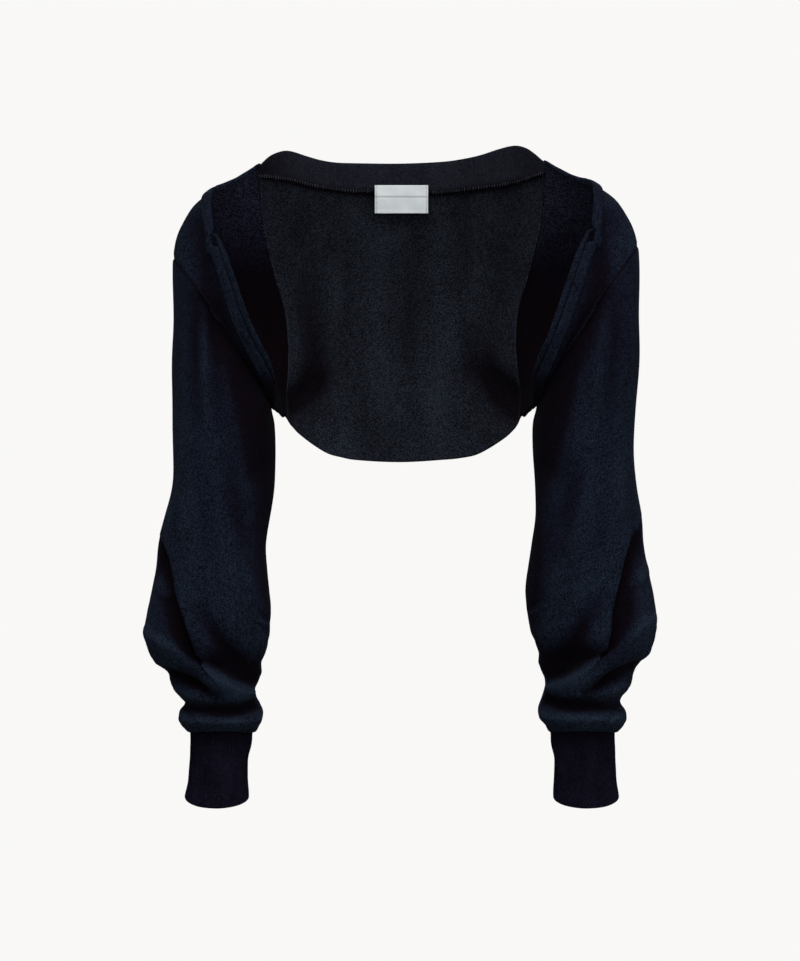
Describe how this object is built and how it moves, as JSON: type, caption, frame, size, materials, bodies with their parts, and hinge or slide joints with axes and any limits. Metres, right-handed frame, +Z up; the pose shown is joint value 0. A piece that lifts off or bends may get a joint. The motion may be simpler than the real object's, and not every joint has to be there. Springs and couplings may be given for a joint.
{
  "type": "knitted shrug",
  "caption": "Cropped sweatshirt-knit shrug with an open front, full sleeves gathered into rib cuffs and a rib band round the back of the neck, filled out as when worn.",
  "frame": {"origin": "between the shoulder tops of the wearer, at the level that carries the cloth", "axes": "+Z up, +X to the wearer's left, -Y the way the wearer faces"},
  "size_m": [0.5092, 0.1847, 0.6565],
  "materials": {
    "fleece": "matt near-black navy sweatshirt knit, fine outside and brushed inside",
    "rib": "matt near-black navy rib knit",
    "label_satin": "blank white woven satin with a soft sheen"
  },
  "bodies": {
    "root": {"back": "fleece", "neckband": "rib", "label": "label_satin", "shoulder_right": "fleece", "shoulder_left": "fleece", "front_band_right": "fleece", "front_band_left": "fleece", "band_turning_right": "fleece", "band_turning_left": "fleece", "sleeve_right": "fleece", "sleeve_left": "fleece", "cuff_right": "rib", "cuff_left": "rib"}
  },
  "joints": []
}
